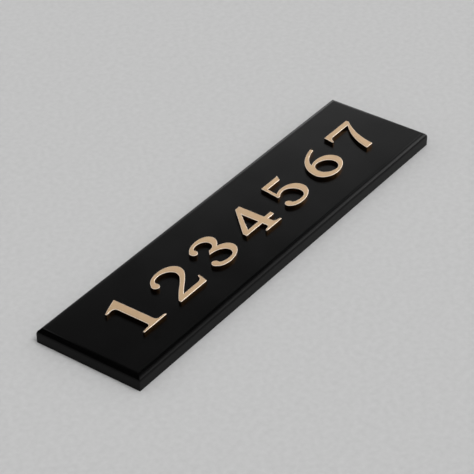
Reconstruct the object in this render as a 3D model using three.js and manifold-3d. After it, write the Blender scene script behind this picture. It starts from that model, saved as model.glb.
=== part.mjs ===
// House name plate: a black board with a rounded upper edge, a row of raised metal numerals
// pinned to its face, and two keyhole hangers let into its back.
// Millimetres. X runs along the row in reading direction, Y up the numerals, Z out of the face.
// The origin is the centre of the board's back face, which lies against the wall or the table.

import * as THREE from 'three';
import { mergeVertices } from 'three/addons/utils/BufferGeometryUtils.js';
import Module from 'manifold-3d';

const wasm = await Module();
wasm.setup();

// Board
const boardLength = 410;
const boardWidth = 100;
const boardThickness = 13;
const edgeRadius = 4.8;
const edgeSteps = 8;

// Row of numerals
const firstNumeralHeight = 44;
const numeralHeight = 38;
const numeralThickness = 3;
const firstNumeralFromEnd = 54.7;
const lastNumeralFromEnd = 47.5;
const baselineFromEdge = 28;
const widthOfOne = 30;
const widthOfTwo = 37;
const widthOfThree = 33;
const widthOfFour = 39;
const widthOfFive = 33;
const widthOfSix = 36;
const widthOfSeven = 36;

// Pen that the numerals are drawn with: an oval nib held at a slant
const thickStroke = 8;
const thinStroke = 3;
const penSlant = THREE.MathUtils.degToRad(16);
const barStroke = 4.6;
const serifDepth = 2;
const bracketRise = 3.4;
const bracketReach = 4.4;
const terminalRadius = 3.5;
const bowlRoundness = 0.57;
const terminalWeight = 0.72;
const easedShare = 0.4;
const outlineChord = 1.2;

// Weld studs that pin the numerals to the board
const studDiameter = 3;
const studLength = 8;
const studTipChamfer = 0.6;
const studFlangeDiameter = 4.4;
const studFlangeDepth = 0.8;
const studSides = 16;
const studClearance = 0.3;

// Keyhole hangers in the back
const hangerFromEnd = 75;
const hangerFromUpperEdge = 32;
const hangerLength = 46;
const hangerWidth = 16;
const hangerThickness = 1.5;
const hangerClearance = 0.3;
const keyholeEntryDiameter = 9.6;
const keyholeEntryY = -6;
const keyholeSlotWidth = 5;
const keyholeSlotEndY = 8;
const headPocketWidth = 12;
const headPocketDepth = 5;
const headPocketMargin = 2;

// Countersunk screws that hold the hangers
const screwFromHangerEnd = 6;
const screwLength = 9.5;
const screwDiameter = 2.8;
const screwHeadDiameter = 5.6;
const screwHeadDepth = 1.4;
const screwPointLength = 2.5;
const screwSides = 20;
const screwClearance = 0.3;
const crossRecessSpan = 3;
const crossRecessSlot = 0.7;
const crossRecessDepth = 1;

// Satin black lacquer, champagne gold metal and zinc plate
const lacquer = { color: 0x1b1b1d, roughness: 0.42, metalness: 0 };
const champagneGold = { color: 0xc9a77f, roughness: 0.45, metalness: 1 };
const weldStudSteel = { color: 0xb08d62, roughness: 0.5, metalness: 1 };
const zincPlate = { color: 0xb9bdc1, roughness: 0.38, metalness: 1 };

// Solids and booleans
function toSolid(geometry) {
  const bare = geometry.clone();
  bare.deleteAttribute('normal');
  bare.deleteAttribute('uv');
  const merged = mergeVertices(bare, 1e-4);
  const triVerts = new Uint32Array(merged.index.array);
  const vertProperties = new Float32Array(merged.attributes.position.array);
  return new wasm.Manifold(new wasm.Mesh({ numProp: 3, vertProperties, triVerts }));
}

function toGeometry(solid) {
  const mesh = solid.getMesh();
  const geometry = new THREE.BufferGeometry();
  geometry.setAttribute('position', new THREE.BufferAttribute(mesh.vertProperties, 3));
  geometry.setIndex(new THREE.BufferAttribute(mesh.triVerts, 1));
  geometry.computeVertexNormals();
  return geometry;
}

function joined(geometries) {
  return geometries.map(toSolid).reduce((whole, next) => whole.add(next));
}

function cut(solid, geometries) {
  return geometries.map(toSolid).reduce((whole, tool) => whole.subtract(tool), solid);
}

function slab(shape, depth, base = 0) {
  const geometry = new THREE.ExtrudeGeometry(shape, { depth, bevelEnabled: false, curveSegments: 12 });
  return geometry.translate(0, 0, base);
}

// A turned piece standing on Z, from pairs of radius and height that start and end on the axis
function turned(profile, sides) {
  const points = profile.map(([radius, height]) => new THREE.Vector2(radius, height));
  return new THREE.LatheGeometry(points, sides).rotateX(Math.PI / 2);
}

function bore(diameter, bottom, top, sides) {
  const radius = diameter / 2;
  return turned([[0, bottom], [radius, bottom], [radius, top], [0, top]], sides);
}

// A straight-sided strip with round ends, from one centre to the other along Y
function stripShape(width, lowY, highY) {
  const radius = width / 2;
  const shape = new THREE.Shape();
  shape.moveTo(radius, lowY);
  shape.lineTo(radius, highY);
  shape.absarc(0, highY, radius, 0, Math.PI);
  shape.lineTo(-radius, lowY);
  shape.absarc(0, lowY, radius, Math.PI, 2 * Math.PI);
  return shape;
}

// Pen strokes
const nibHalfWide = thickStroke / 2;
const nibHalfThin = thinStroke / 2;
const nibReachX = Math.hypot(nibHalfWide * Math.cos(penSlant), nibHalfThin * Math.sin(penSlant));
const nibReachY = Math.hypot(nibHalfWide * Math.sin(penSlant), nibHalfThin * Math.cos(penSlant));

// From the nib's centre to the point of its rim that lies furthest towards the normal
function nibRim(normal, weight) {
  const wideAxis = new THREE.Vector2(Math.cos(penSlant), Math.sin(penSlant));
  const thinAxis = new THREE.Vector2(-Math.sin(penSlant), Math.cos(penSlant));
  const wide = nibHalfWide * weight;
  const alongWide = wide * wide * normal.dot(wideAxis);
  const alongThin = nibHalfThin * nibHalfThin * normal.dot(thinAxis);
  const reach = Math.hypot(wide * normal.dot(wideAxis), nibHalfThin * normal.dot(thinAxis));
  return wideAxis.multiplyScalar(alongWide / reach).add(thinAxis.multiplyScalar(alongThin / reach));
}

// The two edges that the nib leaves as it follows a path, eased in and out of its end weights
function strokeEdges(path, startWeight, endWeight) {
  const { lerp, smoothstep } = THREE.MathUtils;
  const steps = Math.ceil(path.getLength() / outlineChord);
  const left = [];
  const right = [];
  for (let i = 0; i <= steps; i += 1) {
    const along = i / steps;
    const easedIn = lerp(startWeight, 1, smoothstep(along, 0, easedShare));
    const easedOut = lerp(endWeight, 1, smoothstep(1 - along, 0, easedShare));
    const tangent = path.getTangentAt(along);
    const rim = nibRim(new THREE.Vector2(-tangent.y, tangent.x), easedIn * easedOut);
    const centre = path.getPointAt(along);
    left.push(centre.clone().add(rim));
    right.push(centre.clone().sub(rim));
  }
  return { left, right };
}

function stroke(path, startWeight = 1, endWeight = 1) {
  const { left, right } = strokeEdges(path, startWeight, endWeight);
  return slab(new THREE.Shape([...right, ...left.reverse()]), numeralThickness);
}

// An oval ring drawn with one turn of the pen
function ovalRing(centreX, centreY, radiusX, radiusY) {
  const oval = new THREE.EllipseCurve(centreX, centreY, radiusX, radiusY);
  const { left, right } = strokeEdges(oval, 1, 1);
  const ring = new THREE.Shape(right.slice(0, -1));
  ring.holes.push(new THREE.Path(left.slice(0, -1)));
  return slab(ring, numeralThickness);
}

// A quarter turn of a bowl, which leaves either upright or level and arrives the other way
function quarterTurn(path, x, y, leavesUpright) {
  const from = path.currentPoint.clone();
  const overX = (x - from.x) * bowlRoundness;
  const overY = (y - from.y) * bowlRoundness;
  if (leavesUpright) {
    path.bezierCurveTo(from.x, from.y + overY, x - overX, y, x, y);
  } else {
    path.bezierCurveTo(from.x + overX, from.y, x, y - overY, x, y);
  }
}

// A round drop at one end of a stroke
function terminal(path, along = 0) {
  const centre = path.getPointAt(along);
  const disc = new THREE.Shape();
  disc.absarc(centre.x, centre.y, terminalRadius, 0, 2 * Math.PI);
  return slab(disc, numeralThickness);
}

function outline(points) {
  return slab(new THREE.Shape(points.map(([x, y]) => new THREE.Vector2(x, y))), numeralThickness);
}

// An upright stem on a flat foot, with curved brackets between the two
function footedStem(centreX, topY, footReach) {
  const half = thickStroke / 2;
  const stem = new THREE.Shape();
  stem.moveTo(centreX - footReach, 0);
  stem.lineTo(centreX + footReach, 0);
  stem.lineTo(centreX + footReach, serifDepth * 0.7);
  stem.lineTo(centreX + half + bracketReach, serifDepth);
  stem.quadraticCurveTo(centreX + half, serifDepth, centreX + half, serifDepth + bracketRise);
  stem.lineTo(centreX + half, topY);
  stem.lineTo(centreX - half, topY);
  stem.lineTo(centreX - half, serifDepth + bracketRise);
  stem.quadraticCurveTo(centreX - half, serifDepth, centreX - half - bracketReach, serifDepth);
  stem.lineTo(centreX - footReach, serifDepth * 0.7);
  return slab(stem, numeralThickness);
}

// Numerals, each from its lower left corner; pins are the centres of its two studs
const baselineY = baselineFromEdge - boardWidth / 2;

function drawOne(width, height) {
  const stemX = width * 0.54;
  const stemLeft = stemX - thickStroke / 2;
  const stemRight = stemX + thickStroke / 2;
  const flag = new THREE.Shape();
  flag.moveTo(stemRight, height);
  flag.quadraticCurveTo(width * 0.32, height * 0.93, width * 0.06, height * 0.86);
  flag.lineTo(width * 0.08, height * 0.825);
  flag.quadraticCurveTo(stemLeft, height * 0.87, stemLeft, height * 0.76);
  flag.lineTo(stemRight, height * 0.7);
  const stem = footedStem(stemX, height * 0.8, width * 0.46);
  const pins = [[stemX, height * 0.2], [stemX, height * 0.8]];
  return { pieces: [stem, slab(flag, numeralThickness)], pins };
}

function drawTwo(width, height) {
  const bowl = new THREE.Path();
  bowl.moveTo(nibReachX + 1, height * 0.74);
  quarterTurn(bowl, width * 0.47, height - nibReachY, true);
  quarterTurn(bowl, width - nibReachX - 1, height * 0.7, false);
  bowl.bezierCurveTo(width - nibReachX - 1, height * 0.48, width * 0.44, height * 0.34, width * 0.13, barStroke * 0.6);
  const base = new THREE.Shape();
  base.moveTo(width * 0.03, 0);
  base.lineTo(width * 0.93, 0);
  base.lineTo(width, height * 0.25);
  base.lineTo(width * 0.955, height * 0.25);
  base.quadraticCurveTo(width * 0.92, barStroke, width * 0.76, barStroke);
  base.lineTo(width * 0.097, barStroke);
  base.lineTo(width * 0.03, barStroke * 0.52);
  const pieces = [stroke(bowl, terminalWeight), terminal(bowl), slab(base, numeralThickness)];
  const upperPin = bowl.getPointAt(0.42);
  return { pieces, pins: [[upperPin.x, upperPin.y], [width * 0.19, barStroke * 0.65]] };
}

function drawThree(width, height) {
  const waistY = height * 0.53;
  const upper = new THREE.Path();
  upper.moveTo(nibReachX, height * 0.79);
  quarterTurn(upper, width * 0.46, height - nibReachY, true);
  quarterTurn(upper, width * 0.92 - nibReachX, height * 0.76, false);
  quarterTurn(upper, width * 0.38, waistY, true);
  const lower = new THREE.Path();
  lower.moveTo(width * 0.36, waistY);
  quarterTurn(lower, width - nibReachX, height * 0.28, false);
  quarterTurn(lower, width * 0.45, nibReachY, true);
  quarterTurn(lower, nibReachX - 0.5, height * 0.2, false);
  const pieces = [stroke(upper, terminalWeight), stroke(lower, 1, terminalWeight)];
  pieces.push(terminal(upper), terminal(lower, 1));
  return { pieces, pins: [[width * 0.92 - nibReachX, height * 0.76], [width - nibReachX, height * 0.28]] };
}

function drawFour(width, height) {
  const stemX = width * 0.66;
  const stemLeft = stemX - thickStroke / 2;
  const stemRight = stemX + thickStroke / 2;
  const barLow = height * 0.24;
  const barHigh = barLow + barStroke * 0.85;
  const bar = outline([[0, barLow], [width * 0.98, barLow], [width, barHigh], [0, barHigh]]);
  const diagonalFoot = thinStroke * 1.45;
  const diagonal = outline([
    [0, barHigh - thinStroke],
    [diagonalFoot, barHigh - thinStroke],
    [stemLeft + 1, height * 0.83],
    [stemRight, height * 0.88],
    [stemRight, height],
    [stemRight - thickStroke * 0.7, height],
    [0, barHigh],
  ]);
  const stem = footedStem(stemX, height * 0.9, width * 0.27);
  const pins = [[stemX, height * 0.13], [stemX, height * 0.8]];
  return { pieces: [bar, diagonal, stem], pins };
}

function drawFive(width, height) {
  const neckX = width * 0.2;
  const neckY = height * 0.5;
  const bar = new THREE.Shape();
  bar.moveTo(neckX, height - barStroke * 1.05);
  bar.lineTo(width * 0.82, height - barStroke * 1.05);
  bar.lineTo(width * 0.93, height * 1.02);
  bar.quadraticCurveTo(width * 0.88, height, width * 0.8, height);
  bar.lineTo(neckX + thinStroke * 0.2, height);
  const neck = outline([
    [neckX - thinStroke * 0.75, neckY],
    [neckX + thinStroke * 0.35, neckY],
    [neckX + thinStroke * 1.1, height - 1],
    [neckX + thinStroke * 0.2, height],
  ]);
  const bowl = new THREE.Path();
  bowl.moveTo(neckX, neckY + thinStroke * 0.4);
  bowl.bezierCurveTo(width * 0.28, height * 0.59, width * 0.38, height * 0.61, width * 0.5, height * 0.61);
  quarterTurn(bowl, width - nibReachX, height * 0.32, false);
  quarterTurn(bowl, width * 0.44, nibReachY, true);
  quarterTurn(bowl, nibReachX - 0.5, height * 0.19, false);
  const pieces = [slab(bar, numeralThickness), neck, stroke(bowl, 0.5, terminalWeight), terminal(bowl, 1)];
  return { pieces, pins: [[width - nibReachX, height * 0.32], [width * 0.55, height - barStroke * 0.52]] };
}

function drawSix(width, height) {
  const ringRadiusX = width / 2 - nibReachX;
  const ringRadiusY = height * 0.33 - nibReachY;
  const ringY = nibReachY + ringRadiusY;
  const ring = ovalRing(width / 2, ringY, ringRadiusX, ringRadiusY);
  const sweep = new THREE.Path();
  sweep.moveTo(nibReachX, ringY * 0.9);
  sweep.bezierCurveTo(nibReachX, height * 0.66, width * 0.42, height * 0.9, width * 0.86, height * 0.96);
  const pins = [[width - nibReachX, ringY], [nibReachX + 0.4, height * 0.46]];
  return { pieces: [ring, stroke(sweep, 1, 0.55)], pins };
}

function drawSeven(width, height) {
  const barLow = height - barStroke * 1.1;
  const bar = new THREE.Shape();
  bar.moveTo(0, height * 0.74);
  bar.lineTo(width * 0.045, height * 0.74);
  bar.quadraticCurveTo(width * 0.07, barLow, width * 0.24, barLow);
  bar.lineTo(width * 0.86, barLow);
  bar.lineTo(width, height - thinStroke * 0.9);
  bar.lineTo(width, height);
  bar.lineTo(width * 0.04, height);
  const leg = new THREE.Shape();
  const footX = width * 0.3;
  leg.moveTo(footX, 0);
  leg.lineTo(footX + thickStroke * 1.05, 0);
  leg.quadraticCurveTo(width * 0.6, height * 0.5, width, height - thinStroke * 0.9);
  leg.lineTo(width * 0.86, barLow);
  leg.quadraticCurveTo(width * 0.4, height * 0.5, footX, 0);
  const pins = [[footX + thickStroke * 0.68, height * 0.12], [width * 0.32, height - barStroke * 0.55]];
  return { pieces: [slab(bar, numeralThickness), slab(leg, numeralThickness)], pins };
}

const numerals = [
  { draw: drawOne, width: widthOfOne, height: firstNumeralHeight },
  { draw: drawTwo, width: widthOfTwo, height: numeralHeight },
  { draw: drawThree, width: widthOfThree, height: numeralHeight },
  { draw: drawFour, width: widthOfFour, height: numeralHeight },
  { draw: drawFive, width: widthOfFive, height: numeralHeight },
  { draw: drawSix, width: widthOfSix, height: numeralHeight },
  { draw: drawSeven, width: widthOfSeven, height: numeralHeight },
].map((numeral, index, row) => {
  const firstX = firstNumeralFromEnd - boardLength / 2;
  const lastX = boardLength / 2 - lastNumeralFromEnd;
  const cornerX = THREE.MathUtils.lerp(firstX, lastX, index / (row.length - 1)) - numeral.width / 2;
  const drawn = numeral.draw(numeral.width, numeral.height);
  const pins = drawn.pins.map(([x, y]) => [cornerX + x, baselineY + y]);
  return { cornerX, pieces: drawn.pieces, pins };
});

// Named pieces
const plate = new THREE.Group();

function addPiece(name, geometry, finish, x = 0, y = 0, z = 0, parent = plate) {
  const mesh = new THREE.Mesh(geometry, new THREE.MeshStandardMaterial(finish));
  mesh.name = name;
  mesh.position.set(x, y, z);
  parent.add(mesh);
}

// Board: level rings of four corners, drawn in over the quarter round and closed at both ends
function boardBlank() {
  const rings = [{ inset: 0, height: 0 }];
  for (let step = 0; step <= edgeSteps; step += 1) {
    const angle = (step / edgeSteps) * (Math.PI / 2);
    const inset = edgeRadius * (1 - Math.cos(angle));
    rings.push({ inset, height: boardThickness - edgeRadius * (1 - Math.sin(angle)) });
  }
  const corners = [[-1, -1], [1, -1], [1, 1], [-1, 1]];
  const positions = rings.flatMap(({ inset, height }) => corners.flatMap(([signX, signY]) => [
    signX * (boardLength / 2 - inset),
    signY * (boardWidth / 2 - inset),
    height,
  ]));
  const faces = [0, 2, 1, 0, 3, 2];
  for (let ring = 0; ring < rings.length - 1; ring += 1) {
    for (let corner = 0; corner < 4; corner += 1) {
      const low = ring * 4 + corner;
      const lowNext = ring * 4 + ((corner + 1) % 4);
      faces.push(low, lowNext, lowNext + 4, low, lowNext + 4, low + 4);
    }
  }
  const top = (rings.length - 1) * 4;
  faces.push(top, top + 1, top + 2, top, top + 2, top + 3);
  const geometry = new THREE.BufferGeometry();
  geometry.setAttribute('position', new THREE.Float32BufferAttribute(positions, 3));
  geometry.setIndex(faces);
  return geometry;
}

function studHole(x, y) {
  const flangeRadius = studFlangeDiameter / 2 + studClearance;
  const shankRadius = studDiameter / 2 + studClearance;
  const seat = boardThickness - studFlangeDepth - studClearance;
  const bottom = boardThickness - studLength - studClearance;
  const above = boardThickness + 1;
  const profile = [[0, bottom], [shankRadius, bottom], [shankRadius, seat], [flangeRadius, seat], [flangeRadius, above], [0, above]];
  return turned(profile, studSides).translate(x, y, 0);
}

const hangerCentreX = boardLength / 2 - hangerFromEnd;
const hangerCentreY = boardWidth / 2 - hangerFromUpperEdge;
const hangerCentres = [[-hangerCentreX, hangerCentreY], [hangerCentreX, hangerCentreY]];
const screwOffset = hangerLength / 2 - screwFromHangerEnd;
const screwOffsets = [-screwOffset, screwOffset];
const hangerEndY = (hangerLength - hangerWidth) / 2;

// Shallow seat for the hanger, deeper pocket for the wall screw's head, and two screw holes
function hangerCuts(x, y) {
  const below = -1;
  const seatShape = stripShape(hangerWidth + 2 * hangerClearance, -hangerEndY, hangerEndY);
  const seat = slab(seatShape, hangerThickness - below, below);
  const pocketRadius = headPocketWidth / 2;
  const pocketLow = keyholeEntryY - keyholeEntryDiameter / 2 - headPocketMargin + pocketRadius;
  const pocketHigh = keyholeSlotEndY + headPocketMargin;
  const pocket = slab(stripShape(headPocketWidth, pocketLow, pocketHigh), headPocketDepth + 1, hangerThickness - 1);
  const holeTop = screwLength + screwClearance;
  const holes = screwOffsets.map((offset) => (
    bore(screwDiameter + 2 * screwClearance, below, holeTop, screwSides).translate(0, offset, 0)
  ));
  return [seat, pocket, ...holes].map((tool) => tool.translate(x, y, 0));
}

const studCentres = numerals.flatMap((numeral) => numeral.pins);
const boardCuts = [
  ...studCentres.map(([x, y]) => studHole(x, y)),
  ...hangerCentres.flatMap(([x, y]) => hangerCuts(x, y)),
];
addPiece('board', toGeometry(cut(toSolid(boardBlank()), boardCuts)), lacquer);

// Numerals, face to face with the board
numerals.forEach((numeral, index) => {
  const geometry = toGeometry(joined(numeral.pieces));
  addPiece(`numeral_${index + 1}`, geometry, champagneGold, numeral.cornerX, baselineY, boardThickness);
});

// Studs: a weld flange under the numeral and a shank with a broken tip
const studProfile = [
  [0, -studLength],
  [studDiameter / 2 - studTipChamfer, -studLength],
  [studDiameter / 2, -studLength + studTipChamfer],
  [studDiameter / 2, -studFlangeDepth],
  [studFlangeDiameter / 2, -studFlangeDepth],
  [studFlangeDiameter / 2, 0],
  [0, 0],
];
numerals.forEach((numeral, index) => {
  numeral.pins.forEach(([x, y], pin) => {
    const name = `stud_${index + 1}_${['a', 'b'][pin]}`;
    addPiece(name, toGeometry(toSolid(turned(studProfile, studSides))), weldStudSteel, x, y, boardThickness);
  });
});

// Hanger: a strip with round ends, a keyhole whose slot points up, and two countersunk holes
function hangerGeometry() {
  const shape = stripShape(hangerWidth, -hangerEndY, hangerEndY);
  const entryRadius = keyholeEntryDiameter / 2;
  const slotRadius = keyholeSlotWidth / 2;
  const meetAngle = Math.acos(slotRadius / entryRadius);
  const keyhole = new THREE.Path();
  keyhole.absarc(0, keyholeEntryY, entryRadius, Math.PI - meetAngle, 2 * Math.PI + meetAngle);
  keyhole.lineTo(slotRadius, keyholeSlotEndY);
  keyhole.absarc(0, keyholeSlotEndY, slotRadius, 0, Math.PI);
  keyhole.closePath();
  shape.holes.push(keyhole);
  const shankRadius = screwDiameter / 2 + screwClearance;
  const headRadius = screwHeadDiameter / 2 + screwClearance;
  const countersinkTop = screwHeadDepth + screwClearance;
  const profile = [[0, -1], [headRadius, -1], [headRadius, 0], [shankRadius, countersinkTop], [shankRadius, 9], [0, 9]];
  const holes = screwOffsets.map((offset) => turned(profile, screwSides).translate(0, offset, 0));
  return toGeometry(cut(toSolid(slab(shape, hangerThickness)), holes));
}

// Screw: a flat countersunk head with a cross recess, flush with the hanger's face, and a point
function screwGeometry() {
  const radius = screwDiameter / 2;
  const profile = [
    [0, 0],
    [screwHeadDiameter / 2, 0],
    [radius, screwHeadDepth],
    [radius, screwLength - screwPointLength],
    [0.2, screwLength],
    [0, screwLength],
  ];
  const recess = [0, Math.PI / 2].map((angle) => {
    const slot = new THREE.BoxGeometry(crossRecessSpan, crossRecessSlot, 2 * crossRecessDepth);
    return slot.rotateZ(angle + Math.PI / 4);
  });
  return toGeometry(cut(toSolid(turned(profile, screwSides)), recess));
}

['left', 'right'].forEach((side, index) => {
  const [x, y] = hangerCentres[index];
  const hanger = new THREE.Group();
  hanger.position.set(x, y, 0);
  plate.add(hanger);
  addPiece(`keyhole_hanger_${side}`, hangerGeometry(), zincPlate, 0, 0, 0, hanger);
  ['lower', 'upper'].forEach((end, which) => {
    addPiece(`hanger_screw_${side}_${end}`, screwGeometry(), zincPlate, 0, screwOffsets[which], 0, hanger);
  });
});

export default plate;
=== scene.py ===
"""Looks of a house name plate: a satin black board with raised champagne-gold numerals.

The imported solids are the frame. Each visible piece is finished from them, then a plain studio is
set round it. Lengths are metres, and a name that ends in _MM is in millimetres.
"""

from math import cos, pi, radians, sin

import bmesh
import bpy
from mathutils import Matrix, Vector


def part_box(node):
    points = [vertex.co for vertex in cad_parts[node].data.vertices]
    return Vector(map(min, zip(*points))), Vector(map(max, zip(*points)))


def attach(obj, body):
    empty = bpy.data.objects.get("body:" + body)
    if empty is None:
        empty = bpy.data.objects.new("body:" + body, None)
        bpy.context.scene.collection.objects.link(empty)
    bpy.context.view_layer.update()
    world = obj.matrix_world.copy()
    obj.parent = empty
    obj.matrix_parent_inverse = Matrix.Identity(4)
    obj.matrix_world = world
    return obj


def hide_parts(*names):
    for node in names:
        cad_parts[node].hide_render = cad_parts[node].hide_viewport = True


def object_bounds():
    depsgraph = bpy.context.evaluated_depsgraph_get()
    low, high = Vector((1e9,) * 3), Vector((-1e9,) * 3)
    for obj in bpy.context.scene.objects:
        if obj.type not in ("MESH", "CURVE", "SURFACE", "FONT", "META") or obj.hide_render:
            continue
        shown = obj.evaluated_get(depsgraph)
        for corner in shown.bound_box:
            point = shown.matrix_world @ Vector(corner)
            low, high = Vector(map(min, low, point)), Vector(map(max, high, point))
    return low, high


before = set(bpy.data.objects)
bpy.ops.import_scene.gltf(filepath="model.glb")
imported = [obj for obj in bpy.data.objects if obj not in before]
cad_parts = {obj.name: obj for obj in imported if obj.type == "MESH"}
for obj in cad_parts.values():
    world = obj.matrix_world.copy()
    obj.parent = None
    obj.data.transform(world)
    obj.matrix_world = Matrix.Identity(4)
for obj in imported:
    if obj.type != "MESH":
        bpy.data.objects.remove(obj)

bl_info = {
    "name": "House name plate",
    "version": (1, 0, 0),
    "blender": (4, 5, 0),
    "location": "3D View > Sidebar > Plate",
    "description": "Finishes a black name plate with raised numerals and sets a studio round it",
    "category": "Object",
}

cad_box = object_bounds()
MM = 0.001
BODY = "root"
NUMERALS = sorted(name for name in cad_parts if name.startswith("numeral_"))
STUDS = sorted(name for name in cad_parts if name.startswith("stud_"))
HANGERS = sorted(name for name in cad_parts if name.startswith("keyhole_hanger_"))
SCREWS = sorted(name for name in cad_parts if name.startswith("hanger_screw_"))
SCREW_LOW, SCREW_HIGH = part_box(SCREWS[0])

# Points of a solid closer than this are one point, and faces at less than this angle are one face
SAME_POINT_MM = 0.001
SAME_FACE_ANGLE = radians(0.2)
# A face whose normal rises at least this much lies level
LEVEL = 0.5
# Points of a numeral closer than this become one, so that its rim runs evenly
NUMERAL_WELD_MM = 0.3
# Where the seam through a numeral's hole lies, clear of its foot, as a share of its width
HOLE_SEAMS = {"numeral_4": 0.408, "numeral_6": 0.494}
# Edges that turn more than this are sharp
CREASE_ANGLE = radians(30)
NUMERAL_CREASE_ANGLE = radians(35)
ROUNDING_STEPS = 2

# Inputs of the screw's tree
SCREW_SIZES = (
    "Head radius", "Head depth", "Length", "Core radius", "Thread height", "Thread pitch",
    "Point length", "Recess span", "Recess slot", "Recess depth",
)
# Radius of the point's tip and foot in core radii, and how deep the foot is sunk in point lengths
TIP_SHARE = 0.1
POINT_FOOT_SHARE = 0.98
POINT_SUNK_SHARE = 0.04
# Width of the recess at its floor, how far its cutter stands out of the head, and the depth of its
# second slot, as shares of the recess
RECESS_FLOOR_SHARE = 0.5
RECESS_PROUD_SHARE = 0.2
SECOND_SLOT_SHARE = 1.1
HEAD_SIDES = 48
SHANK_SIDES = 24
# Points of a screw closer than this become one, which clears the slivers that its booleans leave
SCREW_WELD_MM = 0.002

# Camera, fitted to the outline of the board in the photograph
VIEW_AZIMUTH = radians(-54.42)
VIEW_ELEVATION = radians(35.93)
VIEW_DISTANCE = 1.6177
VIEW_TARGET = Vector((-0.0043, 0.0053, 0.0))
VIEW_LENS_MM = 149.5
VIEW_SENSOR_MM = 36

# Lamps: the azimuth and elevation that each lights from, and its width, in degrees
OVERHEAD_PLACE, OVERHEAD_WIDTH = (0, 90), 160
KEY_PLACE, KEY_WIDTH = (280, 62), 30
UNDERSIDE_PLACE, UNDERSIDE_WIDTH = (0, -90), 120
# Patches of the low strip of light that polished surfaces mirror: azimuth and elevation in degrees,
# then sharpness and strength
LOW_STRIP = (
    (-60, 12, 30, 2.0),
    (-20, 12, 30, 20.5),
    (10, 28, 80, 4.5),
    (35, 20, 80, 4.9),
    (50, 28, 80, 0.7),
)
# How much brighter the room is below the horizon, for the metal on the back to mirror
BELOW_HORIZON = 0.45

FLOOR_HALF = 8.0
BACKDROP_RADIUS = 0.98 * FLOOR_HALF
FLOOR_LAP_MM = 3
FLOOR_GAP_MM = 0.02


def linear(code):
    """Linear colour of an sRGB hex code."""
    channels = [int(code[i:i + 2], 16) / 255 for i in (1, 3, 5)]
    return tuple(c / 12.92 if c <= 0.04045 else ((c + 0.055) / 1.055) ** 2.4 for c in channels)


def per_mm(length):
    """Texture scale whose features are this many millimetres across."""
    return 1 / (length * MM)


def add_node(tree, kind, inputs=None, output=0, **settings):
    """Adds a node and gives the output asked for.

    inputs maps each socket to a value, to the socket that feeds it, or to a list of such sockets.
    """
    node = tree.nodes.new(kind)
    for name, value in settings.items():
        setattr(node, name, value)
    for name, value in (inputs or {}).items():
        if isinstance(value, bpy.types.NodeSocket):
            value = [value]
        if isinstance(value, list):
            # A socket that takes several links puts the newest first, so the last is linked first
            for source in reversed(value):
                tree.links.new(source, node.inputs[name])
        else:
            node.inputs[name].default_value = value
    return node.outputs[output] if node.outputs else None


def new_material(name):
    """An empty material, its node tree and the Object coordinates that its patterns lie on."""
    material = bpy.data.materials.new(name)
    material.use_nodes = True
    tree = material.node_tree
    tree.nodes.clear()
    return material, tree, add_node(tree, "ShaderNodeTexCoord", output="Object")


def surface(tree, inputs):
    """Makes the material a Principled shader with these inputs."""
    shader = add_node(tree, "ShaderNodeBsdfPrincipled", inputs)
    add_node(tree, "ShaderNodeOutputMaterial", {"Surface": shader})


def spread(tree, pattern, middle, reach):
    """The pattern's usual range, 0.3 to 0.7, stretched to lie within reach of the middle value."""
    return add_node(tree, "ShaderNodeMapRange", {
        "Value": pattern, "From Min": 0.3, "From Max": 0.7,
        "To Min": middle - reach, "To Max": middle + reach,
    })


def mottled(tree, pattern, colour, dark, light):
    """The colour times dark where the pattern is 0, and times light where it is 1."""
    mixed = add_node(tree, "ShaderNodeMix", {"Factor": pattern}, output=2, data_type="RGBA")
    # The node has an A, a B and a result for each kind of data, and these are the colours
    for socket, share in zip(mixed.node.inputs[6:8], (dark, light)):
        socket.default_value = (*(min(1.0, channel * share) for channel in colour), 1)
    return mixed


def satin_black_lacquer(settings):
    """Sprayed black lacquer with a faint orange peel, whose satin surface reflects softly."""
    material, tree, place = new_material("satin_black_lacquer")
    haze = add_node(tree, "ShaderNodeTexNoise", {"Vector": place, "Scale": per_mm(40), "Detail": 3})
    peel = add_node(tree, "ShaderNodeTexNoise", {"Vector": place, "Scale": per_mm(2.4), "Detail": 1})
    surface(tree, {
        "Base Color": mottled(tree, haze, settings.lacquer, 0.85, 1.15),
        "Roughness": spread(tree, haze, settings.roughness, 0.02),
        "IOR": settings.gloss_index,
        "Normal": add_node(tree, "ShaderNodeBump", {
            "Height": peel, "Strength": 0.05, "Distance": 0.1 * MM}),
    })
    return material


def champagne_gold_face(settings):
    """Champagne-gold metal, ground to a fine satin under a lacquer with gold flakes."""
    material, tree, place = new_material("champagne_gold_face")
    # Real grinding lines are too fine to show, so these are drawn several times wider
    along = add_node(tree, "ShaderNodeMapping", {"Vector": place, "Scale": (0.04, 1, 1)})
    grain = add_node(tree, "ShaderNodeTexNoise", {"Vector": along, "Scale": per_mm(0.35), "Detail": 3})
    cloud = add_node(tree, "ShaderNodeTexNoise", {"Vector": place, "Scale": per_mm(14), "Detail": 2})
    surface(tree, {
        "Base Color": mottled(tree, cloud, settings.face, 0.96, 1.04),
        "Metallic": 0.6,
        "Roughness": spread(tree, grain, settings.face_roughness, 0.04),
        "Normal": add_node(tree, "ShaderNodeBump", {
            "Height": grain, "Strength": 0.12, "Distance": 0.05 * MM}),
    })
    return material


def smooth_cut_metal(name, settings):
    """The same metal where it was cut or turned: smoother, so that it mirrors the dark board."""
    material, tree, place = new_material(name)
    # The cutter's marks run from the back to the face
    upright = add_node(tree, "ShaderNodeMapping", {"Vector": place, "Scale": (1, 1, 0.05)})
    grain = add_node(tree, "ShaderNodeTexNoise", {"Vector": upright, "Scale": per_mm(0.4), "Detail": 2})
    surface(tree, {
        "Base Color": mottled(tree, grain, settings.edge, 0.96, 1.04),
        "Metallic": 1.0,
        "Roughness": spread(tree, grain, settings.edge_roughness, 0.02),
    })
    return material


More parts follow.
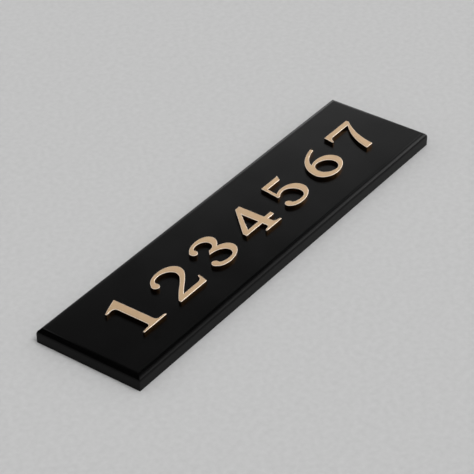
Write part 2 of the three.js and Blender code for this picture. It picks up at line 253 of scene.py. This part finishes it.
def champagne_gold_rim_painted_highlight(settings):
    """The broken edge round each face, softer than the face, its colour painted lighter as a highlight.
    """
    material, tree, place = new_material("champagne_gold_rim_painted_highlight")
    cloud = add_node(tree, "ShaderNodeTexNoise", {"Vector": place, "Scale": per_mm(3), "Detail": 2})
    surface(tree, {
        # The rim's light colour is a painted highlight along the edge of each face
        "Base Color": mottled(tree, cloud, settings.rim, 0.96, 1),
        "Metallic": 0.4,
        "Roughness": settings.rim_roughness,
    })
    return material


def zinc_plate(name, settings):
    """Bright zinc plate on pressed steel: cool, cloudy and finely scratched."""
    material, tree, place = new_material(name)
    cloud = add_node(tree, "ShaderNodeTexNoise", {"Vector": place, "Scale": per_mm(6), "Detail": 3})
    # Real rolling scratches are too fine to show, so these are drawn several times wider
    drawn = add_node(tree, "ShaderNodeMapping", {"Vector": place, "Scale": (1, 0.06, 1)})
    scratches = add_node(tree, "ShaderNodeTexNoise", {"Vector": drawn, "Scale": per_mm(0.5), "Detail": 3})
    surface(tree, {
        "Base Color": mottled(tree, cloud, settings.zinc, 0.9, 1.08),
        "Metallic": 1.0,
        "Roughness": spread(tree, cloud, settings.zinc_roughness, 0.06),
        "Normal": add_node(tree, "ShaderNodeBump", {
            "Height": scratches, "Strength": 0.15, "Distance": 0.05 * MM}),
    })
    return material


def pale_plaster(settings):
    """The table or wall that the plate lies on: matt, pale and finely gritty."""
    material, tree, place = new_material("pale_plaster")
    # Grit of under a millimetre is too fine to show, so it is drawn several times coarser
    grit = add_node(tree, "ShaderNodeTexNoise", {"Vector": place, "Scale": per_mm(5), "Detail": 4})
    surface(tree, {
        "Base Color": mottled(tree, grit, settings.floor, 0.9, 1.1),
        "Roughness": 0.9,
        "Specular IOR Level": 0.1,
        "Normal": add_node(tree, "ShaderNodeBump", {
            "Height": grit, "Strength": 0.3, "Distance": 0.3 * MM}),
    })
    return material


def merged_copy(node, piece, weld_mm=None, seam=None):
    """A new piece with the CAD node's shape, its loose triangles merged into flat faces.

    Points closer than weld_mm become one then. A seam at a share of the node's width parts its
    faces, because a face can't have a hole in it.
    """
    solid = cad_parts[node].data
    mesh = bpy.data.meshes.new(piece)
    mesh.from_pydata([v.co for v in solid.vertices], [], [tuple(p.vertices) for p in solid.polygons])
    shape = bmesh.new()
    shape.from_mesh(mesh)
    bmesh.ops.remove_doubles(shape, verts=shape.verts, dist=SAME_POINT_MM * MM)
    if seam is not None:
        low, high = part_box(node)
        whole = shape.verts[:] + shape.edges[:] + shape.faces[:]
        cut = bmesh.ops.bisect_plane(
            shape, geom=whole, plane_co=low.lerp(high, seam), plane_no=(1, 0, 0))
        for part in cut["geom_cut"]:
            if isinstance(part, bmesh.types.BMEdge):
                part.seam = True
    bmesh.ops.dissolve_limit(
        shape, angle_limit=SAME_FACE_ANGLE, verts=shape.verts, edges=shape.edges, delimit={"SEAM"})
    if weld_mm is not None:
        bmesh.ops.remove_doubles(shape, verts=shape.verts, dist=weld_mm * MM)
    shape.to_mesh(mesh)
    shape.free()
    return place_piece(piece, mesh)


def place_piece(piece, mesh):
    """An object for the mesh, linked to the scene at the origin."""
    made = bpy.data.objects.new(piece, mesh)
    bpy.context.scene.collection.objects.link(made)
    return made


def soften(made, width, crease_angle):
    """Rounds the sharp edges a little and shades the curved faces smooth."""
    mesh = made.data
    mesh.shade_smooth()
    mesh.set_sharp_from_angle(angle=crease_angle)
    bevel = made.modifiers.new("edges", "BEVEL")
    bevel.width = width
    bevel.segments = ROUNDING_STEPS
    bevel.limit_method = "ANGLE"
    bevel.angle_limit = crease_angle
    bevel.harden_normals = True
    bevel.miter_outer = "MITER_ARC"
    normals = made.modifiers.new("flat_faces", "WEIGHTED_NORMAL")
    normals.keep_sharp = True


def rim_only(numeral):
    """Keeps the rounding to the outline of the face, and gives it the third material, the rim with a
    painted highlight.
    """
    mesh = numeral.data
    outline = set()
    for polygon in mesh.polygons:
        if polygon.normal.z > LEVEL:
            outline ^= set(polygon.edge_keys)
    weights = mesh.attributes.new("bevel_weight_edge", "FLOAT", "EDGE").data
    for edge in mesh.edges:
        weights[edge.index].value = float(edge.key in outline)
    edges = numeral.modifiers["edges"]
    edges.limit_method = "WEIGHT"
    edges.material = 2
    edges.use_clamp_overlap = False


def give(made, *materials):
    """Puts these materials, and no others, in the object's slots."""
    made.data.materials.clear()
    for material in materials:
        made.data.materials.append(material)


def frustum(tree, sides, bottom, top, height, low=0.0):
    """A closed cone stump that stands on the height low."""
    stump = add_node(tree, "GeometryNodeMeshCone", {
        "Vertices": sides, "Radius Bottom": bottom, "Radius Top": top, "Depth": height,
    })
    lift = add_node(tree, "ShaderNodeCombineXYZ", {"Z": low})
    return add_node(tree, "GeometryNodeTransform", {"Geometry": stump, "Translation": lift})


def screw_thread(tree, size):
    """A ridge wound round the core from the head down, which dies away along the point."""
    winding = add_node(tree, "ShaderNodeMath", {
        0: size["Length"], 1: size["Head depth"]}, operation="SUBTRACT")
    spiral = add_node(tree, "GeometryNodeCurveSpiral", {
        "Resolution": SHANK_SIDES,
        "Rotations": add_node(tree, "ShaderNodeMath", {
            0: winding, 1: size["Thread pitch"]}, operation="DIVIDE"),
        "Start Radius": size["Core radius"],
        "End Radius": size["Core radius"],
        "Height": winding,
    })
    start = add_node(tree, "ShaderNodeCombineXYZ", {"Z": size["Head depth"]})
    spiral = add_node(tree, "GeometryNodeTransform", {"Geometry": spiral, "Translation": start})
    place = add_node(tree, "GeometryNodeInputPosition")
    taper = add_node(tree, "ShaderNodeMapRange", {
        "Value": add_node(tree, "ShaderNodeSeparateXYZ", {"Vector": place}, output="Z"),
        "From Min": add_node(tree, "ShaderNodeMath", {
            0: size["Length"], 1: size["Point length"]}, operation="SUBTRACT"),
        "From Max": size["Length"], "To Min": 1.0, "To Max": TIP_SHARE,
    })
    inwards = add_node(tree, "ShaderNodeCombineXYZ", {"X": taper, "Y": taper, "Z": 1.0})
    drawn_in = add_node(tree, "ShaderNodeVectorMath", {0: place, 1: inwards}, operation="MULTIPLY")
    spiral = add_node(tree, "GeometryNodeSetPosition", {"Geometry": spiral, "Position": drawn_in})
    # Three sides make the ridge a triangle
    ridge = add_node(tree, "GeometryNodeCurvePrimitiveCircle", {
        "Resolution": 3, "Radius": size["Thread height"],
    })
    return add_node(tree, "GeometryNodeCurveToMesh", {
        "Curve": spiral, "Profile Curve": ridge, "Scale": taper, "Fill Caps": True,
    })


def cross_recess(tree, size):
    """Two crossed slots that taper inwards from the head's face, one a little deeper."""
    corner = add_node(tree, "ShaderNodeMath", {
        0: size["Recess span"], 1: 0.5 * 2 ** 0.5}, operation="MULTIPLY")
    foot = add_node(tree, "ShaderNodeMath", {0: corner, 1: RECESS_FLOOR_SHARE}, operation="MULTIPLY")
    deep = add_node(tree, "ShaderNodeMath", {
        0: size["Recess depth"], 1: 1 + RECESS_PROUD_SHARE}, operation="MULTIPLY")
    low = add_node(tree, "ShaderNodeMath", {
        0: size["Recess depth"], 1: -RECESS_PROUD_SHARE}, operation="MULTIPLY")
    wedge = add_node(tree, "GeometryNodeTransform", {
        "Geometry": frustum(tree, 4, corner, foot, deep, low), "Rotation": (0, 0, pi / 4),
    })
    across = add_node(tree, "ShaderNodeMath", {
        0: size["Recess slot"], 1: size["Recess span"]}, operation="DIVIDE")
    thin = add_node(tree, "ShaderNodeCombineXYZ", {"X": 1.0, "Y": across, "Z": 1.0})
    slot = add_node(tree, "GeometryNodeTransform", {"Geometry": wedge, "Scale": thin})
    crossing = add_node(tree, "GeometryNodeTransform", {
        "Geometry": slot, "Rotation": (0, 0, pi / 2), "Scale": (1, 1, SECOND_SLOT_SHARE),
    })
    return [slot, crossing]


def screw_body(tree, size):
    """The head, the core, the point and the thread as one closed shape."""
    core_end = add_node(tree, "ShaderNodeMath", {
        0: size["Length"], 1: size["Point length"]}, operation="SUBTRACT")
    half_head = add_node(tree, "ShaderNodeMath", {0: size["Head depth"], 1: 0.5}, operation="MULTIPLY")
    core_length = add_node(tree, "ShaderNodeMath", {0: core_end, 1: half_head}, operation="SUBTRACT")
    # The point's foot is sunk into the core, a little thinner than it, so that no faces coincide
    sunk = add_node(tree, "ShaderNodeMath", {
        0: size["Point length"], 1: POINT_SUNK_SHARE}, operation="MULTIPLY")
    point_start = add_node(tree, "ShaderNodeMath", {0: core_end, 1: sunk}, operation="SUBTRACT")
    point_length = add_node(tree, "ShaderNodeMath", {
        0: size["Point length"], 1: sunk}, operation="ADD")
    foot = add_node(tree, "ShaderNodeMath", {
        0: size["Core radius"], 1: POINT_FOOT_SHARE}, operation="MULTIPLY")
    tip = add_node(tree, "ShaderNodeMath", {
        0: size["Core radius"], 1: TIP_SHARE}, operation="MULTIPLY")
    head_radius, core_radius = size["Head radius"], size["Core radius"]
    return add_node(tree, "GeometryNodeMeshBoolean", {"Mesh 2": [
        frustum(tree, HEAD_SIDES, head_radius, core_radius, size["Head depth"]),
        frustum(tree, SHANK_SIDES, core_radius, core_radius, core_length, half_head),
        frustum(tree, SHANK_SIDES, foot, tip, point_length, point_start),
        screw_thread(tree, size),
    ]}, operation="UNION", solver="EXACT")


def screws_tree():
    """Geometry Nodes: a countersunk wood screw on each point, head down, turned at random."""
    tree = bpy.data.node_groups.new("countersunk_screws", "GeometryNodeTree")
    socket = tree.interface.new_socket
    socket("Points", in_out="INPUT", socket_type="NodeSocketGeometry")
    for name in SCREW_SIZES:
        socket(name, in_out="INPUT", socket_type="NodeSocketFloat")
    socket("Seed", in_out="INPUT", socket_type="NodeSocketInt")
    socket("Finish", in_out="INPUT", socket_type="NodeSocketMaterial")
    socket("Screws", in_out="OUTPUT", socket_type="NodeSocketGeometry")
    size = add_node(tree, "NodeGroupInput").node.outputs

    screw = add_node(tree, "GeometryNodeMeshBoolean", {
        "Mesh 1": screw_body(tree, size), "Mesh 2": cross_recess(tree, size),
    }, operation="DIFFERENCE", solver="EXACT")
    screw = add_node(tree, "GeometryNodeMergeByDistance", {
        "Geometry": screw, "Distance": SCREW_WELD_MM * MM,
    })
    turn = add_node(tree, "FunctionNodeRandomValue", {
        "Max": (0, 0, 2 * pi), "Seed": size["Seed"],
    }, data_type="FLOAT_VECTOR")
    screws = add_node(tree, "GeometryNodeInstanceOnPoints", {
        "Points": size["Points"],
        "Instance": screw,
        "Rotation": add_node(tree, "FunctionNodeEulerToRotation", {"Euler": turn}),
    })
    screws = add_node(tree, "GeometryNodeRealizeInstances", {"Geometry": screws})
    screws = add_node(tree, "GeometryNodeSetMaterial", {"Geometry": screws, "Material": size["Finish"]})
    add_node(tree, "NodeGroupOutput", {"Screws": screws})
    return tree


def made_by_nodes(piece, points, tree, values):
    """Runs a Geometry Nodes tree on loose points and keeps its result as a plain mesh."""
    seed_mesh = bpy.data.meshes.new(f"{piece}_points")
    seed_mesh.from_pydata(points, [], [])
    made = place_piece(piece, seed_mesh)
    run = made.modifiers.new("make", "NODES")
    run.node_group = tree
    for item in tree.interface.items_tree:
        if item.in_out == "INPUT" and item.name in values:
            run[item.identifier] = values[item.name]
    evaluated = made.evaluated_get(bpy.context.evaluated_depsgraph_get())
    mesh = bpy.data.meshes.new_from_object(evaluated)
    made.modifiers.remove(run)
    made.data = mesh
    bpy.data.meshes.remove(seed_mesh)
    if not mesh.polygons:
        raise RuntimeError(f"{piece} came out empty")
    return made


def finish_piece(made, slot, *nodes):
    """The piece stands for the CAD nodes, which are hidden, and rides on the plate. The slot is not used.
    """
    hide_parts(*nodes)
    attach(made, BODY)


class PlateBoard(bpy.types.PropertyGroup):
    """Board sizes and finish."""

    lacquer: bpy.props.FloatVectorProperty(
        name="Lacquer", description="Colour of the satin black lacquer",
        subtype="COLOR", default=linear("#020202"), min=0, max=1)
    roughness: bpy.props.FloatProperty(
        name="Roughness", description="How softly the lacquer reflects",
        subtype="FACTOR", default=0.17, min=0, max=1)
    gloss_index: bpy.props.FloatProperty(
        name="Gloss index", description="Refractive index of the lacquer: how much it reflects",
        default=1.19, min=1, max=2)
    corner: bpy.props.FloatProperty(
        name="Corner", description="Width of the lacquer's rounding over the sharp edges",
        subtype="DISTANCE", unit="LENGTH", default=0.25 * MM, min=0)


class PlateNumerals(bpy.types.PropertyGroup):
    """Numeral sizes and finish."""

    face: bpy.props.FloatVectorProperty(
        name="Face", description="Colour of the ground faces",
        subtype="COLOR", default=linear("#C4A682"), min=0, max=1)
    # The rim colour is lighter than the face's, a painted highlight round each face
    rim: bpy.props.FloatVectorProperty(
        name="Rim", description="Colour of the bright rim round the faces",
        subtype="COLOR", default=linear("#FFF0E0"), min=0, max=1)
    face_roughness: bpy.props.FloatProperty(
        name="Face roughness", description="How softly the ground faces reflect",
        subtype="FACTOR", default=0.5, min=0, max=1)
    rim_roughness: bpy.props.FloatProperty(
        name="Rim roughness", description="How softly the rims reflect",
        subtype="FACTOR", default=0.75, min=0, max=1)
    edge: bpy.props.FloatVectorProperty(
        name="Cut edge", description="Colour of the cut sides",
        subtype="COLOR", default=linear("#C4905A"), min=0, max=1)
    edge_roughness: bpy.props.FloatProperty(
        name="Edge roughness", description="How softly the cut sides reflect",
        subtype="FACTOR", default=0.25, min=0, max=1)
    bevel: bpy.props.FloatProperty(
        name="Edge break", description="Width of the broken edge round each face",
        subtype="DISTANCE", unit="LENGTH", default=0.3 * MM, min=0)


class PlateHardware(bpy.types.PropertyGroup):
    """Hanger and screw sizes and finish."""

    zinc: bpy.props.FloatVectorProperty(
        name="Zinc", description="Colour of the zinc plate",
        subtype="COLOR", default=linear("#D3D6D8"), min=0, max=1)
    zinc_roughness: bpy.props.FloatProperty(
        name="Roughness", description="How softly the zinc plate reflects",
        subtype="FACTOR", default=0.34, min=0, max=1)
    bevel: bpy.props.FloatProperty(
        name="Edge break", description="Width of the pressed strip's rounded edges",
        subtype="DISTANCE", unit="LENGTH", default=0.12 * MM, min=0)
    head_depth: bpy.props.FloatProperty(
        name="Head depth", description="Depth of the countersunk head",
        subtype="DISTANCE", unit="LENGTH", default=1.4 * MM, min=0)
    core: bpy.props.FloatProperty(
        name="Core", description="Diameter of the screw between its threads",
        subtype="DISTANCE", unit="LENGTH", default=2 * MM, min=0)
    thread_height: bpy.props.FloatProperty(
        name="Thread height", description="How far the thread stands out of the core",
        subtype="DISTANCE", unit="LENGTH", default=0.38 * MM, min=0)
    thread_pitch: bpy.props.FloatProperty(
        name="Thread pitch", description="Distance from one turn of the thread to the next",
        subtype="DISTANCE", unit="LENGTH", default=1.1 * MM, min=0.2 * MM)
    point_length: bpy.props.FloatProperty(
        name="Point length", description="Length of the tapered point",
        subtype="DISTANCE", unit="LENGTH", default=2.5 * MM, min=0)
    recess_span: bpy.props.FloatProperty(
        name="Recess span", description="Width of the cross recess",
        subtype="DISTANCE", unit="LENGTH", default=3 * MM, min=0)
    recess_slot: bpy.props.FloatProperty(
        name="Recess slot", description="Width of each slot of the cross recess",
        subtype="DISTANCE", unit="LENGTH", default=0.7 * MM, min=0)
    recess_depth: bpy.props.FloatProperty(
        name="Recess depth", description="Depth of the cross recess",
        subtype="DISTANCE", unit="LENGTH", default=1 * MM, min=0)
    turn_seed: bpy.props.IntProperty(
        name="Turn seed", description="Picks how far each screw was turned", default=3, min=0)


class PlateStage(bpy.types.PropertyGroup):
    """Floor and light."""

    floor: bpy.props.FloatVectorProperty(
        name="Floor", description="Colour of the plaster under the plate",
        subtype="COLOR", default=linear("#C2C2C2"), min=0, max=1)
    overhead: bpy.props.FloatProperty(
        name="Overhead", description="Strength of the very wide soft light overhead",
        default=1.84, min=0, soft_max=4)
    key: bpy.props.FloatProperty(
        name="Key", description="Strength of the soft light that comes over the front edge",
        default=1.41, min=0, soft_max=4)
    underside: bpy.props.FloatProperty(
        name="Underside", description="Strength of the soft light from below, which shows the back",
        default=1.2, min=0, soft_max=4)
    room: bpy.props.FloatProperty(
        name="Room", description="Brightness of the dim room that polished surfaces mirror",
        default=0.06, min=0, soft_max=1)
    strip: bpy.props.FloatProperty(
        name="Strip", description="Strength of the low strip of light that polished surfaces mirror",
        default=1.0, min=0, soft_max=4)


class PlateSettings(bpy.types.PropertyGroup):
    """Everything that can be set on the plate and its studio."""

    board: bpy.props.PointerProperty(type=PlateBoard)
    numerals: bpy.props.PointerProperty(type=PlateNumerals)
    hardware: bpy.props.PointerProperty(type=PlateHardware)
    stage: bpy.props.PointerProperty(type=PlateStage)


class PLATE_OT_board(bpy.types.Operator):
    """Finish the board in satin black lacquer"""

    bl_idname = "plate.board"
    bl_label = "Board"

    def execute(self, context):
        settings = context.scene.plate.board
        board = merged_copy("board", "lacquered_board")
        soften(board, settings.corner, CREASE_ANGLE)
        give(board, satin_black_lacquer(settings))
        finish_piece(board, "black_lacquer", "board")
        return {"FINISHED"}


class PLATE_OT_numerals(bpy.types.Operator):
    """Finish the numerals with satin faces and smoother cut edges"""

    bl_idname = "plate.numerals"
    bl_label = "Numerals"

    def execute(self, context):
        settings = context.scene.plate.numerals
        face = champagne_gold_face(settings)
        edge = smooth_cut_metal("champagne_gold_edge", settings)
        rim = champagne_gold_rim_painted_highlight(settings)
        for node in NUMERALS:
            numeral = merged_copy(node, f"cut_{node}", NUMERAL_WELD_MM, HOLE_SEAMS.get(node))
            give(numeral, face, edge, rim)
            for polygon in numeral.data.polygons:
                polygon.material_index = 0 if abs(polygon.normal.z) > LEVEL else 1
            soften(numeral, settings.bevel, NUMERAL_CREASE_ANGLE)
            rim_only(numeral)
            finish_piece(numeral, "champagne_gold", node)
        return {"FINISHED"}


class PLATE_OT_studs(bpy.types.Operator):
    """Give the studs inside the board their metal"""

    bl_idname = "plate.studs"
    bl_label = "Studs"

    def execute(self, context):
        brass = smooth_cut_metal("plain_turned_brass", context.scene.plate.numerals)
        for node in STUDS:
            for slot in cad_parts[node].material_slots:
                slot.material = brass
        return {"FINISHED"}


class PLATE_OT_hangers(bpy.types.Operator):
    """Finish the keyhole hangers in zinc plate"""

    bl_idname = "plate.hangers"
    bl_label = "Hangers"

    def execute(self, context):
        settings = context.scene.plate.hardware
        zinc = zinc_plate("zinc_plated_strip", settings)
        for node in HANGERS:
            hanger = merged_copy(node, f"pressed_{node}")
            soften(hanger, settings.bevel, CREASE_ANGLE)
            give(hanger, zinc)
            finish_piece(hanger, "zinc_plate", node)
        return {"FINISHED"}


class PLATE_OT_screws(bpy.types.Operator):
    """Drive a threaded countersunk screw into each of the hangers' holes"""

    bl_idname = "plate.screws"
    bl_label = "Screws"

    def execute(self, context):
        settings = context.scene.plate.hardware
        points = []
        for node in SCREWS:
            low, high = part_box(node)
            points.append(((low[0] + high[0]) / 2, (low[1] + high[1]) / 2, low[2]))
        screws = made_by_nodes("hanger_screws", points, screws_tree(), {
            "Head radius": (SCREW_HIGH[0] - SCREW_LOW[0]) / 2,
            "Head depth": settings.head_depth,
            "Length": SCREW_HIGH[2] - SCREW_LOW[2],
            "Core radius": settings.core / 2,
            "Thread height": settings.thread_height,
            "Thread pitch": settings.thread_pitch,
            "Point length": settings.point_length,
            "Recess span": settings.recess_span,
            "Recess slot": settings.recess_slot,
            "Recess depth": settings.recess_depth,
            "Seed": settings.turn_seed,
            "Finish": zinc_plate("zinc_plated_screw", settings),
        })
        screws.data.shade_smooth()
        screws.data.set_sharp_from_angle(angle=CREASE_ANGLE)
        finish_piece(screws, "screw_steel", *SCREWS)
        return {"FINISHED"}


def plaster_floor(settings):
    """A wide plane, open under the plate, so that the back can be lit and seen from below."""
    low, high = cad_box
    inner_x, inner_y = high.x - FLOOR_LAP_MM * MM, high.y - FLOOR_LAP_MM * MM
    level = low.z - FLOOR_GAP_MM * MM
    corners = ((-1, -1), (1, -1), (1, 1), (-1, 1))
    points = [(x * FLOOR_HALF, y * FLOOR_HALF, level) for x, y in corners]
    points += [(x * inner_x, y * inner_y, level) for x, y in corners]
    mesh = bpy.data.meshes.new("floor")
    mesh.from_pydata(points, [], [(i, (i + 1) % 4, (i + 1) % 4 + 4, i + 4) for i in range(4)])
    floor = place_piece("floor", mesh)
    give(floor, pale_plaster(settings))
    return floor


def far_backdrop(settings):
    """A pale wall far round the studio, which only the camera sees."""
    mesh = bpy.data.meshes.new("backdrop")
    shape = bmesh.new()
    bmesh.ops.create_cone(
        shape, segments=48, radius1=BACKDROP_RADIUS, radius2=BACKDROP_RADIUS, depth=2 * FLOOR_HALF)
    shape.to_mesh(mesh)
    shape.free()
    wall = place_piece("backdrop", mesh)
    material, tree, _ = new_material("pale_backdrop")
    glow = add_node(tree, "ShaderNodeEmission", {"Color": (*settings.floor, 1)})
    add_node(tree, "ShaderNodeOutputMaterial", {"Surface": glow})
    give(wall, material)
    wall.visible_diffuse = wall.visible_glossy = wall.visible_transmission = wall.visible_shadow = False
    return wall


def toward(azimuth, elevation):
    """Unit vector for degrees anticlockwise from +X and degrees above the floor."""
    a, e = radians(azimuth), radians(elevation)
    return Vector((cos(a) * cos(e), sin(a) * cos(e), sin(e)))


def soft_lamp(name, place, width, strength):
    """A sun lamp that lights from an azimuth and elevation, width degrees across."""
    lamp = bpy.data.lights.new(name, "SUN")
    lamp.energy = strength
    lamp.angle = radians(width)
    made = bpy.data.objects.new(name, lamp)
    made.rotation_euler = toward(*place).to_track_quat("Z", "Y").to_euler()
    bpy.context.scene.collection.objects.link(made)
    return made


def studio_world(settings):
    """What polished surfaces mirror: a dim room with a low strip of soft light beyond the plate."""
    world = bpy.data.worlds.new("studio")
    world.use_nodes = True
    world.cycles_visibility.diffuse = False
    tree = world.node_tree
    tree.nodes.clear()
    direction = add_node(tree, "ShaderNodeTexCoord", output="Generated")
    height = add_node(tree, "ShaderNodeSeparateXYZ", {"Vector": direction}, output="Z")
    below = add_node(tree, "ShaderNodeMath", {0: height, 1: 0.0}, operation="LESS_THAN")
    light = add_node(tree, "ShaderNodeMath", {
        0: below, 1: BELOW_HORIZON, 2: settings.room}, operation="MULTIPLY_ADD")
    for azimuth, elevation, sharpness, strength in LOW_STRIP:
        dot = add_node(tree, "ShaderNodeVectorMath", {
            0: direction, 1: toward(azimuth, elevation)}, output="Value", operation="DOT_PRODUCT")
        fall = add_node(tree, "ShaderNodeMath", {
            0: dot, 1: sharpness, 2: -sharpness}, operation="MULTIPLY_ADD")
        patch = add_node(tree, "ShaderNodeMath", {0: fall}, operation="EXPONENT")
        light = add_node(tree, "ShaderNodeMath", {
            0: patch, 1: strength * settings.strip, 2: light}, operation="MULTIPLY_ADD")
    sky = add_node(tree, "ShaderNodeBackground", {"Color": (1, 1, 1, 1), "Strength": light})
    add_node(tree, "ShaderNodeOutputWorld", {"Surface": sky})
    return world


class PLATE_OT_stage(bpy.types.Operator):
    """Lay the floor, light the studio and set the camera"""

    bl_idname = "plate.stage"
    bl_label = "Studio"

    def execute(self, context):
        scene = context.scene
        settings = scene.plate.stage
        scene.view_settings.view_transform = "Standard"
        plaster_floor(settings)
        far_backdrop(settings)
        scene.world = studio_world(settings)
        overhead = soft_lamp("overhead", OVERHEAD_PLACE, OVERHEAD_WIDTH, settings.overhead)
        # Polished surfaces mirror the world in its place
        overhead.visible_glossy = False
        soft_lamp("key", KEY_PLACE, KEY_WIDTH, settings.key)
        soft_lamp("underside", UNDERSIDE_PLACE, UNDERSIDE_WIDTH, settings.underside)

        lens = bpy.data.cameras.new("camera")
        lens.sensor_width = VIEW_SENSOR_MM
        lens.lens = VIEW_LENS_MM
        lens.clip_end = 4 * FLOOR_HALF
        camera = bpy.data.objects.new("camera", lens)
        away = Vector((
            sin(VIEW_AZIMUTH) * cos(VIEW_ELEVATION),
            -cos(VIEW_AZIMUTH) * cos(VIEW_ELEVATION),
            sin(VIEW_ELEVATION),
        ))
        camera.location = VIEW_TARGET + away * VIEW_DISTANCE
        camera.rotation_euler = (-away).to_track_quat("-Z", "Y").to_euler()
        scene.collection.objects.link(camera)
        scene.camera = camera
        return {"FINISHED"}


class PLATE_PT_panel(bpy.types.Panel):
    """Lists the plate's operators and what can be set"""

    bl_idname = "PLATE_PT_panel"
    bl_label = "Name plate"
    bl_space_type = "VIEW_3D"
    bl_region_type = "UI"
    bl_category = "Plate"

    def draw(self, context):
        settings = context.scene.plate
        for operator, group in PANEL_ROWS:
            box = self.layout.box()
            box.operator(operator.bl_idname)
            if group:
                for name in getattr(settings, group).__annotations__:
                    box.prop(getattr(settings, group), name)


PANEL_ROWS = (
    (PLATE_OT_board, "board"),
    (PLATE_OT_numerals, "numerals"),
    (PLATE_OT_studs, None),
    (PLATE_OT_hangers, "hardware"),
    (PLATE_OT_screws, None),
    (PLATE_OT_stage, "stage"),
)
GROUPS = (PlateBoard, PlateNumerals, PlateHardware, PlateStage, PlateSettings)
CLASSES = GROUPS + tuple(row[0] for row in PANEL_ROWS) + (PLATE_PT_panel,)


def register():
    for cls in CLASSES:
        bpy.utils.register_class(cls)
    bpy.types.Scene.plate = bpy.props.PointerProperty(type=PlateSettings)


def unregister():
    del bpy.types.Scene.plate
    for cls in reversed(CLASSES):
        bpy.utils.unregister_class(cls)


def main():
    register()
    bpy.ops.plate.board()
    bpy.ops.plate.numerals()
    bpy.ops.plate.studs()
    bpy.ops.plate.hangers()
    bpy.ops.plate.screws()
    bpy.ops.plate.stage()


if __name__ == "__main__":
    main()
